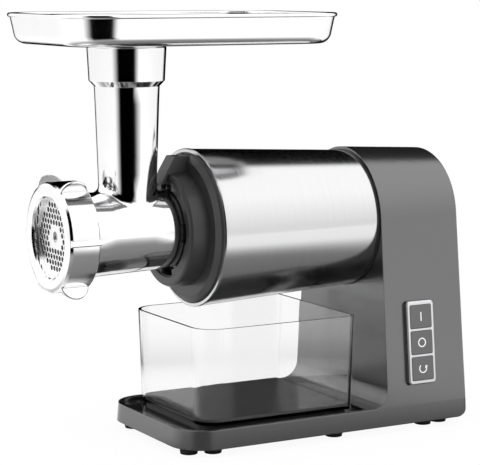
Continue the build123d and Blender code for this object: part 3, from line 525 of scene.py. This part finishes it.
finishes = {
    "gunmetal": lacquer("gunmetal_lacquer", (0.183, 0.183, 0.186), 0.24, 0.95, 0.0009, (0.33, 0.33, 0.33)),
    "brushed_steel": bare_metal("brushed_drum_steel", (0.68, 0.68, 0.685), 0.17, ROUND_THE_DRUM, 0.0000003),
    "bright_trim": bare_metal("bright_trim", (0.66, 0.66, 0.66), 0.18, ROUND_A_SHAFT, 0.000001),
    "dark_trim": lacquer("dark_trim", (0.05, 0.05, 0.052), 0.30, 0.6, 0.0003, (0.15, 0.15, 0.15)),
    "polished_metal": bare_metal("polished_alloy", (0.94, 0.94, 0.945), 0.095, EVERY_WAY, 0.000012,
                                 marks=0.06, rounding=0.0006),
    "cast_aluminium": bare_metal("cast_feed_screw", (0.74, 0.74, 0.75), 0.28, (420.0, 420.0, 420.0), 0.00003),
    "pan_steel": bare_metal("pan_steel", (0.92, 0.92, 0.925), 0.12, ALONG_THE_PAN, 0.0000006, marks=0.07,
                            mark_size=0.08),
    "knife_steel": bare_metal("ground_knife_steel", (0.60, 0.60, 0.62), 0.22, (3000.0, 40.0, 60.0), 0.000004),
    "black_plastic": moulded("black_moulding", (0.027, 0.027, 0.028), 0.36, 0.00045, 0.000012),
    "gloss_black": moulded("gloss_tray", (0.016, 0.016, 0.017), 0.10, 0.002, 0.000002, 0.0006),
    "clear_plastic": clear_plastic("clear_box", 0.0, 6.0),
    "rubber": moulded("foot_rubber", (0.012, 0.012, 0.012), 0.62, 0.0006, 0.00003),
    "steel": bare_metal("machine_steel", (0.52, 0.52, 0.54), 0.30, ROUND_A_SHAFT, 0.000002),
    "bronze": bare_metal("sintered_bronze", (0.62, 0.44, 0.24), 0.42, (1500.0, 1500.0, 1500.0), 0.00001),
    "copper": bare_metal("enamelled_copper", (0.72, 0.34, 0.17), 0.30, (900.0, 900.0, 900.0), 0.00006),
    "carbon": moulded("brush_carbon", (0.045, 0.045, 0.047), 0.55, 0.0003, 0.00001),
    "circuit_board": moulded("circuit_board", (0.03, 0.16, 0.07), 0.28, 0.003, 0.00001),
    "gear_plastic": moulded("nylon_gear", (0.72, 0.70, 0.62), 0.42, 0.0006, 0.000008),
    "bezel_silver": bare_metal("satin_bezel", (0.74, 0.74, 0.75), 0.34, ROUND_A_SHAFT, 0.000002,
                               rounding=0.0003),
    "button_grey": moulded("button_cap", (0.105, 0.105, 0.108), 0.40, 0.0003, 0.000006, 0.0004, dust=0.0),
}
finishes["ground_plate"] = bare_metal("ground_plate_steel", (0.93, 0.93, 0.935), 0.30, EVERY_WAY, 0.000004)
finishes["box_plate"] = moulded("box_plate", (0.064, 0.064, 0.065), 0.14, 0.002, 0.000002, 0.0004)
finishes["mark"] = moulded("button_mark", (0.80, 0.80, 0.80), 0.45, 0.0003, 0.000004, dust=0.0)
print("finishes:", len(finishes))

# %% [markdown]
# ## Dressing the working model
# Most pieces of the working model already have the right shape, down to their small edges.
# They stay, and each takes the finish of its slot. The plate on the box's floor shares the
# tray's slot, but it is a little greyer.

# %% Finishes on the working model's pieces
slot_of = {part["node"]: part["material_slot"] for part in frame["record"]["subparts"]}
special_finish = {"storage_box_liner": "box_plate"}
for name, piece in nodes.items():
    finish = finishes[special_finish.get(name, slot_of[name])]
    if not piece.material_slots:
        piece.data.materials.append(finish)
    for place_for_finish in piece.material_slots:
        place_for_finish.material = finish
print("dressed:", len(nodes))

# %% [markdown]
# ## Shapes made by rule
# What repeats, or follows a rule, is made by Geometry Nodes: the rule is in the tree, its
# sizes are named inputs, and one change of a number remakes the shape. The tree runs on a
# small mesh that only says where things go. Its result is then made a plain mesh, because a
# finished piece has to stand on its own.

# %% Running a tree and keeping its result
SHARP_FROM = radians(30)


def run_tree(name, tree, places, values, finish, edges=()):
    """Runs a tree on a mesh of points, and edges if given, and returns a plain object."""
    start = bpy.data.meshes.new(name)
    start.from_pydata([tuple(point) for point in places], list(edges), [])
    piece = bpy.data.objects.new(name, start)
    bpy.context.scene.collection.objects.link(piece)
    modifier = piece.modifiers.new("rule", "NODES")
    modifier.node_group = tree
    for item in tree.interface.items_tree:
        if item.in_out == "INPUT" and item.name in values:
            modifier[item.identifier] = values[item.name]
        if item.in_out == "INPUT" and item.name == "Finish":
            modifier[item.identifier] = finish
    graph = bpy.context.evaluated_depsgraph_get()
    plain = bpy.data.meshes.new_from_object(piece.evaluated_get(graph), depsgraph=graph)
    piece.modifiers.remove(modifier)
    piece.data = plain
    plain.shade_smooth()
    plain.set_sharp_from_angle(angle=SHARP_FROM)
    print(name, "faces:", len(plain.polygons))
    return piece


def join(tree, *parts):
    """All the parts as one geometry."""
    node = place(tree, "GeometryNodeJoinGeometry")
    for part in parts:
        tree.links.new(part, node.inputs[0])
    return node.outputs[0]


def close_tree(tree, given, result, geometry):
    """The last two steps of every shape tree: real geometry, in its finish."""
    real = place(tree, "GeometryNodeRealizeInstances", {0: geometry})
    coloured = place(tree, "GeometryNodeSetMaterial",
                     {"Geometry": real.outputs[0], "Material": given["Finish"]})
    tree.links.new(coloured.outputs[0], result["Geometry"])


# %% [markdown]
# ## The cutting plate
# The plate is a steel disc with holes on a triangular grid round a solid hub, a hole in the
# middle for the feed screw's pin and a notch for its key. One grid of points makes every
# hole: a point is kept where it is outside the hub and inside the field, and a drill with a
# small countersink stands on it. All the drills are cut from the disc at once. Typing in a
# hundred holes would hide that rule.

# %% Cutting plate
HOLE_RADIUS = 2.0 * MM
HOLE_PITCH = 4.9 * MM
FIELD_RADIUS = 25.5 * MM
HUB_RADIUS = 8.5 * MM
PIN_HOLE_RADIUS = 4.05 * MM
KEY_NOTCH_RADIUS = 1.8 * MM
KEY_DISTANCE = 31.6 * MM
COUNTERSINK = 0.15 * MM
CONE_FOOT_SHARE = 0.99
GRID_SIDE = 13
DISC_SIDES = 128
HOLE_SIDES = 20
PIN_HOLE_SIDES = 40
NOTCH_SIDES = 24


def hole_grid(tree, given):
    """Points on a triangular grid, cleared round the hub and outside the field."""
    index = place(tree, "GeometryNodeInputIndex").outputs[0]
    half = GRID_SIDE // 2
    row = reckon(tree, "SUBTRACT", reckon(tree, "FLOOR", reckon(tree, "DIVIDE", index, GRID_SIDE)), half)
    column = reckon(tree, "SUBTRACT", reckon(tree, "FLOORED_MODULO", index, GRID_SIDE), half)
    odd = reckon(tree, "FLOORED_MODULO", row, 2.0)
    shift = reckon(tree, "MULTIPLY", reckon(tree, "SUBTRACT", 1.0, odd), 0.5)
    across = reckon(tree, "MULTIPLY", reckon(tree, "ADD", column, shift), given["Pitch"])
    row_height = reckon(tree, "MULTIPLY", given["Pitch"], sqrt(3) / 2)
    up = reckon(tree, "MULTIPLY", reckon(tree, "ADD", row, 0.5), row_height)
    spot = place(tree, "ShaderNodeCombineXYZ", {"X": across, "Y": up})
    points = place(tree, "GeometryNodePoints", {"Count": GRID_SIDE ** 2, "Position": spot.outputs[0]})
    position = place(tree, "GeometryNodeInputPosition").outputs[0]
    distance = place(tree, "ShaderNodeVectorMath", {0: position}, operation="LENGTH").outputs["Value"]
    clear_of_hub = reckon(tree, "ADD", given["Hub Radius"], given["Hole Radius"])
    on_hub = reckon(tree, "LESS_THAN", distance, clear_of_hub)
    outside = reckon(tree, "GREATER_THAN", distance, given["Field Radius"])
    drop = reckon(tree, "MAXIMUM", on_hub, outside)
    return place(tree, "GeometryNodeDeleteGeometry", {"Geometry": points.outputs[0], "Selection": drop},
                 domain="POINT").outputs[0]


def drill(tree, radius, given, sides):
    """A cutter through the plate, with a cone at the front for the countersink."""
    long = reckon(tree, "MULTIPLY", given["Thickness"], 3.0)
    shank = place(tree, "GeometryNodeMeshCylinder", {"Vertices": sides, "Radius": radius, "Depth": long})
    wide = reckon(tree, "ADD", radius, reckon(tree, "MULTIPLY", given["Countersink"], 2.0))
    cone = place(tree, "GeometryNodeMeshCone",
                 {"Vertices": sides, "Radius Top": wide,
                  "Radius Bottom": reckon(tree, "MULTIPLY", radius, CONE_FOOT_SHARE),
                  "Depth": reckon(tree, "MULTIPLY", given["Countersink"], 2.0)})
    face = reckon(tree, "SUBTRACT", reckon(tree, "DIVIDE", given["Thickness"], 2.0), given["Countersink"])
    lifted = place(tree, "GeometryNodeTransform",
                   {"Geometry": cone.outputs["Mesh"],
                    "Translation": place(tree, "ShaderNodeCombineXYZ", {"Z": face}).outputs[0]})
    return join(tree, shank.outputs["Mesh"], lifted.outputs[0])


def build_drilled_plate():
    sizes = ("Radius", "Thickness", "Hole Radius", "Pitch", "Field Radius", "Hub Radius", "Pin Hole Radius",
             "Key Radius", "Key Distance", "Countersink")
    inputs = {"Geometry": ("Geometry", None), **{size: ("Float", 0.001) for size in sizes},
              "Centre": ("Vector", (0, 0, 0)), "Finish": ("Material", None)}
    tree, given, result = new_group("drilled_plate", inputs, {"Geometry": "Geometry"}, "GeometryNodeTree")
    disc = place(tree, "GeometryNodeMeshCylinder",
                 {"Vertices": DISC_SIDES, "Radius": given["Radius"], "Depth": given["Thickness"]})
    hole = drill(tree, given["Hole Radius"], given, HOLE_SIDES)
    holes = place(tree, "GeometryNodeInstanceOnPoints", {"Points": hole_grid(tree, given), "Instance": hole})
    pin_hole = drill(tree, given["Pin Hole Radius"], given, PIN_HOLE_SIDES)
    deep = reckon(tree, "MULTIPLY", given["Thickness"], 3.0)
    notch = place(tree, "GeometryNodeMeshCylinder",
                  {"Vertices": NOTCH_SIDES, "Radius": given["Key Radius"], "Depth": deep})
    below = reckon(tree, "MULTIPLY", given["Key Distance"], -1.0)
    key = place(tree, "GeometryNodeTransform",
                {"Geometry": notch.outputs["Mesh"],
                 "Translation": place(tree, "ShaderNodeCombineXYZ", {"Y": below}).outputs[0]})
    cutters = join(tree, holes.outputs[0], pin_hole, key.outputs[0])
    cut = place(tree, "GeometryNodeMeshBoolean", {"Mesh 1": disc.outputs["Mesh"], "Mesh 2": cutters},
                operation="DIFFERENCE", solver="EXACT")
    cut.inputs["Self Intersection"].default_value = True
    turned = place(tree, "GeometryNodeTransform",
                   {"Geometry": cut.outputs["Mesh"], "Rotation": (pi / 2, 0, 0),
                    "Translation": given["Centre"]})
    close_tree(tree, given, result, turned.outputs[0])
    return tree


plate_low, plate_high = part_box("cutting_plate")
cutting_plate = run_tree(
    "drilled_cutting_plate", build_drilled_plate(), [(0, 0, 0)],
    {"Radius": (plate_high.x - plate_low.x) / 2, "Thickness": plate_high.y - plate_low.y,
     "Hole Radius": HOLE_RADIUS, "Pitch": HOLE_PITCH, "Field Radius": FIELD_RADIUS, "Hub Radius": HUB_RADIUS,
     "Pin Hole Radius": PIN_HOLE_RADIUS, "Key Radius": KEY_NOTCH_RADIUS, "Key Distance": KEY_DISTANCE,
     "Countersink": COUNTERSINK, "Centre": (plate_low + plate_high) / 2},
    finishes["ground_plate"])
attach(cutting_plate, "plate")
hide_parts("cutting_plate")

# %% [markdown]
# ## The rubber feet
# Ten feet stand under the plinth. A foot is a line swept with a disc whose size follows a rule
# along the line: it narrows towards the table, its lower edge is rounded, and shallow rings
# run round it. A stud on its top goes up into the plinth. The working model's own feet say
# where they go.

# %% Where loose pieces of a node are
def island_boxes(name):
    """The box round each separate lump of a piece, as (lowest corner, highest corner), in order of place."""
    mesh = bmesh.new()
    mesh.from_mesh(nodes[name].data)
    bmesh.ops.remove_doubles(mesh, verts=mesh.verts, dist=0.001 * MM)
    boxes = []
    waiting = set(mesh.verts)
    while waiting:
        edge_of_lump = [waiting.pop()]
        lump = []
        while edge_of_lump:
            vertex = edge_of_lump.pop()
            lump.append(vertex.co.copy())
            beside = [edge.other_vert(vertex) for edge in vertex.link_edges]
            fresh = [other for other in beside if other in waiting]
            waiting.difference_update(fresh)
            edge_of_lump.extend(fresh)
        boxes.append((Vector(map(min, zip(*lump))), Vector(map(max, zip(*lump)))))
    mesh.free()
    return sorted(boxes, key=lambda box: [round(value / MM) for value in box[0]])


# %% Rubber feet
FOOT_TOP_RADIUS = 7.3 * MM
FOOT_NARROWING = 0.7 * MM
FOOT_EDGE = 0.7 * MM
FOOT_RING_DEPTH = 0.25 * MM
FOOT_RINGS = 3.0
STUD_RADIUS = 3.0 * MM
STUD_HEIGHT = 3.4 * MM
FOOT_STEPS = 49
FOOT_SIDES = 48
STUD_SIDES = 32


def build_foot_tree():
    sizes = ("Height", "Top Radius", "Narrowing", "Edge", "Ring Depth", "Rings", "Stud Radius", "Stud Height")
    inputs = {"Geometry": ("Geometry", None), **{size: ("Float", 0.001) for size in sizes},
              "Finish": ("Material", None)}
    tree, given, result = new_group("ringed_foot", inputs, {"Geometry": "Geometry"}, "GeometryNodeTree")
    down = place(tree, "ShaderNodeCombineXYZ", {"Z": reckon(tree, "MULTIPLY", given["Height"], -1.0)})
    line = place(tree, "GeometryNodeCurvePrimitiveLine", {"Start": (0, 0, 0), "End": down.outputs[0]})
    fine = place(tree, "GeometryNodeResampleCurve", {"Curve": line.outputs[0], "Count": FOOT_STEPS})
    along = place(tree, "GeometryNodeSplineParameter").outputs["Factor"]
    lost = reckon(tree, "MULTIPLY", along, given["Narrowing"])
    narrowed = reckon(tree, "SUBTRACT", given["Top Radius"], lost)
    turns = reckon(tree, "MULTIPLY", reckon(tree, "MULTIPLY", along, given["Rings"]), 2 * pi)
    wave = reckon(tree, "SUBTRACT", 1.0, reckon(tree, "COSINE", turns))
    groove = reckon(tree, "MULTIPLY", reckon(tree, "MULTIPLY", wave, 0.5), given["Ring Depth"])
    left = reckon(tree, "MULTIPLY", reckon(tree, "SUBTRACT", 1.0, along), given["Height"])
    short = reckon(tree, "SUBTRACT", 1.0, reckon(tree, "DIVIDE", left, given["Edge"]), clamp=True)
    round_off = reckon(tree, "SUBTRACT", 1.0, reckon(tree, "SQRT", reckon(
        tree, "SUBTRACT", 1.0, reckon(tree, "MULTIPLY", short, short))))
    edge = reckon(tree, "MULTIPLY", round_off, given["Edge"])
    radius = reckon(tree, "SUBTRACT", reckon(tree, "SUBTRACT", narrowed, groove), edge)
    disc = place(tree, "GeometryNodeCurvePrimitiveCircle", {"Resolution": FOOT_SIDES, "Radius": 1.0})
    body = place(tree, "GeometryNodeCurveToMesh",
                 {"Curve": fine.outputs[0], "Profile Curve": disc.outputs[0], "Scale": radius,
                  "Fill Caps": True})
    stud = place(tree, "GeometryNodeMeshCylinder",
                 {"Vertices": STUD_SIDES, "Radius": given["Stud Radius"], "Depth": given["Stud Height"]})
    up = place(tree, "ShaderNodeCombineXYZ", {"Z": reckon(tree, "MULTIPLY", given["Stud Height"], 0.5)})
    raised = place(tree, "GeometryNodeTransform",
                   {"Geometry": stud.outputs["Mesh"], "Translation": up.outputs[0]})
    foot = join(tree, body.outputs[0], raised.outputs[0])
    feet = place(tree, "GeometryNodeInstanceOnPoints", {"Points": given["Geometry"], "Instance": foot})
    close_tree(tree, given, result, feet.outputs[0])
    return tree


foot_boxes = island_boxes("rubber_feet")
foot_height = foot_boxes[0][1].z - foot_boxes[0][0].z - STUD_HEIGHT
foot_tops = [((a.x + b.x) / 2, (a.y + b.y) / 2, a.z + foot_height) for a, b in foot_boxes]
feet = run_tree("ringed_feet", build_foot_tree(), foot_tops,
                {"Height": foot_height, "Top Radius": FOOT_TOP_RADIUS, "Narrowing": FOOT_NARROWING,
                 "Edge": FOOT_EDGE, "Ring Depth": FOOT_RING_DEPTH, "Rings": FOOT_RINGS,
                 "Stud Radius": STUD_RADIUS, "Stud Height": STUD_HEIGHT}, finishes["rubber"])
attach(feet, "housing")
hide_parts("rubber_feet")

# %% [markdown]
# ## The screws under the base
# Six screws hold the cover. Each has a low domed head with a cross cut into it. The head is
# one rule again: two bars crossed, cut from a dome, on a shank, set on a point.

# %% Base screws
SCREW_HEAD_RADIUS = 3.4 * MM
SCREW_HEAD_HEIGHT = 1.6 * MM
SCREW_SHANK_RADIUS = 1.7 * MM
SCREW_SHANK_LENGTH = 3.6 * MM
CROSS_WIDTH = 0.8 * MM
CROSS_LENGTH = 3.4 * MM
CROSS_DEPTH = 1.0 * MM
HEAD_STEPS = 13
HEAD_SIDES = 40
SHANK_SIDES = 24
DOME_POWER = 3.0
DOME_DROP = 0.3
TURN_FROM_ONE_SCREW_TO_THE_NEXT = 1.3


def build_screw_tree():
    sizes = ("Head Radius", "Head Height", "Shank Radius", "Shank Length", "Cross Width", "Cross Length",
             "Cross Depth")
    inputs = {"Geometry": ("Geometry", None), **{size: ("Float", 0.001) for size in sizes},
              "Finish": ("Material", None)}
    tree, given, result = new_group("cross_screw", inputs, {"Geometry": "Geometry"}, "GeometryNodeTree")
    down = place(tree, "ShaderNodeCombineXYZ", {"Z": reckon(tree, "MULTIPLY", given["Head Height"], -1.0)})
    line = place(tree, "GeometryNodeCurvePrimitiveLine", {"Start": (0, 0, 0), "End": down.outputs[0]})
    fine = place(tree, "GeometryNodeResampleCurve", {"Curve": line.outputs[0], "Count": HEAD_STEPS})
    along = place(tree, "GeometryNodeSplineParameter").outputs["Factor"]
    drop = reckon(tree, "MULTIPLY", reckon(tree, "POWER", along, DOME_POWER), DOME_DROP)
    bulge = reckon(tree, "SUBTRACT", 1.0, drop)
    disc = place(tree, "GeometryNodeCurvePrimitiveCircle", {"Resolution": HEAD_SIDES, "Radius": 1.0})
    dome = place(tree, "GeometryNodeCurveToMesh",
                 {"Curve": fine.outputs[0], "Profile Curve": disc.outputs[0],
                  "Scale": reckon(tree, "MULTIPLY", bulge, given["Head Radius"]), "Fill Caps": True})
    deep = reckon(tree, "MULTIPLY", given["Cross Depth"], 2.0)
    bars = []
    for x, y in (("Cross Length", "Cross Width"), ("Cross Width", "Cross Length")):
        size = place(tree, "ShaderNodeCombineXYZ", {"X": given[x], "Y": given[y], "Z": deep})
        bar = place(tree, "GeometryNodeMeshCube", {"Size": size.outputs[0]})
        bars.append(place(tree, "GeometryNodeTransform",
                          {"Geometry": bar.outputs["Mesh"], "Translation": down.outputs[0]}).outputs[0])
    cut = place(tree, "GeometryNodeMeshBoolean", {"Mesh 1": dome.outputs[0], "Mesh 2": join(tree, *bars)},
                operation="DIFFERENCE", solver="EXACT")
    cut.inputs["Self Intersection"].default_value = True
    shank = place(tree, "GeometryNodeMeshCylinder",
                  {"Vertices": SHANK_SIDES, "Radius": given["Shank Radius"], "Depth": given["Shank Length"]})
    up = place(tree, "ShaderNodeCombineXYZ", {"Z": reckon(tree, "MULTIPLY", given["Shank Length"], 0.5)})
    raised = place(tree, "GeometryNodeTransform",
                   {"Geometry": shank.outputs["Mesh"], "Translation": up.outputs[0]})
    screw = join(tree, cut.outputs["Mesh"], raised.outputs[0])
    index = place(tree, "GeometryNodeInputIndex").outputs[0]
    angle = reckon(tree, "MULTIPLY", index, TURN_FROM_ONE_SCREW_TO_THE_NEXT)
    turn = place(tree, "ShaderNodeCombineXYZ", {"Z": angle})
    screws = place(tree, "GeometryNodeInstanceOnPoints",
                   {"Points": given["Geometry"], "Instance": screw, "Rotation": turn.outputs[0]})
    close_tree(tree, given, result, screws.outputs[0])
    return tree


screw_seats = [((a.x + b.x) / 2, (a.y + b.y) / 2, a.z + SCREW_HEAD_HEIGHT)
               for a, b in island_boxes("base_screws")]
screws = run_tree("cross_head_screws", build_screw_tree(), screw_seats,
                  {"Head Radius": SCREW_HEAD_RADIUS, "Head Height": SCREW_HEAD_HEIGHT,
                   "Shank Radius": SCREW_SHANK_RADIUS, "Shank Length": SCREW_SHANK_LENGTH,
                   "Cross Width": CROSS_WIDTH, "Cross Length": CROSS_LENGTH, "Cross Depth": CROSS_DEPTH},
                  finishes["steel"])
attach(screws, "housing")
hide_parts("base_screws")

# %% [markdown]
# ## Symbols on the buttons
# The three buttons carry plain symbols in place of words: a bar for on, a ring for off and a
# turning arrow for reverse. Each symbol is a few strokes drawn in the face of its button. One
# tree turns strokes into raised ribbons. The button's own travel says which way its face
# looks, and the face is where the button reaches furthest that way.

# %% Button symbols
MARK_HEIGHT = 7.0 * MM
STROKE_WIDTH = 0.95 * MM
STROKE_RAISE = 0.12 * MM
RING_SHARE = 0.92
RING_STEPS = 40
ARROW_FROM = 130
ARROW_TO = 400
ARROW_STEPS = 30
BARB_SHARE = 0.62
BARB_LEANS = (-55, -135)
FACE_DEPTH = 0.2 * MM


def build_stroke_tree():
    inputs = {"Geometry": ("Geometry", None), "Width": ("Float", 0.001), "Raise": ("Float", 0.0001),
              "Outward": ("Vector", (1, 0, 0)), "Finish": ("Material", None)}
    tree, given, result = new_group("raised_strokes", inputs, {"Geometry": "Geometry"}, "GeometryNodeTree")
    strokes = place(tree, "GeometryNodeMeshToCurve", {"Mesh": given["Geometry"]})
    facing = place(tree, "GeometryNodeSetCurveNormal",
                   {"Curve": strokes.outputs[0], "Normal": given["Outward"]}, mode="FREE")
    double = reckon(tree, "MULTIPLY", given["Raise"], 2.0)
    ribbon = place(tree, "GeometryNodeCurvePrimitiveQuadrilateral",
                   {"Width": double, "Height": given["Width"]})
    solid = place(tree, "GeometryNodeCurveToMesh",
                  {"Curve": facing.outputs[0], "Profile Curve": ribbon.outputs[0], "Fill Caps": True})
    close_tree(tree, given, result, solid.outputs[0])
    return tree


def arc(radius, start, end, steps):
    """Points on a circle from one angle to another, in degrees."""
    angles = [radians(start + (end - start) * step / steps) for step in range(steps + 1)]
    return [(radius * cos(angle), radius * sin(angle)) for angle in angles]


def arrow_strokes(radius, start, end):
    """An open ring with two short strokes at its end."""
    ring = arc(radius, start, end, ARROW_STEPS)
    tip = ring[-1]
    length = BARB_SHARE * radius
    barbs = [(tip[0] + length * cos(radians(end + lean)), tip[1] + length * sin(radians(end + lean)))
             for lean in BARB_LEANS]
    return [ring, [barbs[0], tip, barbs[1]]]


half_mark = MARK_HEIGHT / 2
ring_radius = half_mark * RING_SHARE
symbols = {"on": [[(0, -half_mark), (0, half_mark)]],
           "off": [arc(ring_radius, 0, 360, RING_STEPS)[:-1]],
           "reverse": arrow_strokes(ring_radius, ARROW_FROM, ARROW_TO)}
stroke_tree = build_stroke_tree()
for button, strokes in symbols.items():
    outward = -Vector(joints[f"{button}_press"]["axis"]).normalized()
    right = Vector((0, 1, 0))
    upward = outward.cross(right)
    cap = nodes[f"{button}_button"].data.vertices
    face = max(vertex.co.dot(outward) for vertex in cap)
    face_low, face_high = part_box(f"{button}_button")
    heights = [vertex.co.dot(upward) for vertex in cap if vertex.co.dot(outward) > face - FACE_DEPTH]
    height = (min(heights) + max(heights)) / 2
    centre = outward * face + upward * height + right * (face_low.y + face_high.y) / 2
    places = []
    edges = []
    for stroke in strokes:
        first = len(places)
        places += [centre + right * x + upward * y for x, y in stroke]
        edges += [(i, i + 1) for i in range(first, len(places) - 1)]
        if button == "off":
            edges.append((len(places) - 1, first))
    mark = run_tree(f"{button}_mark", stroke_tree, places,
                    {"Width": STROKE_WIDTH, "Raise": STROKE_RAISE, "Outward": outward},
                    finishes["mark"], edges)
    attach(mark, button)
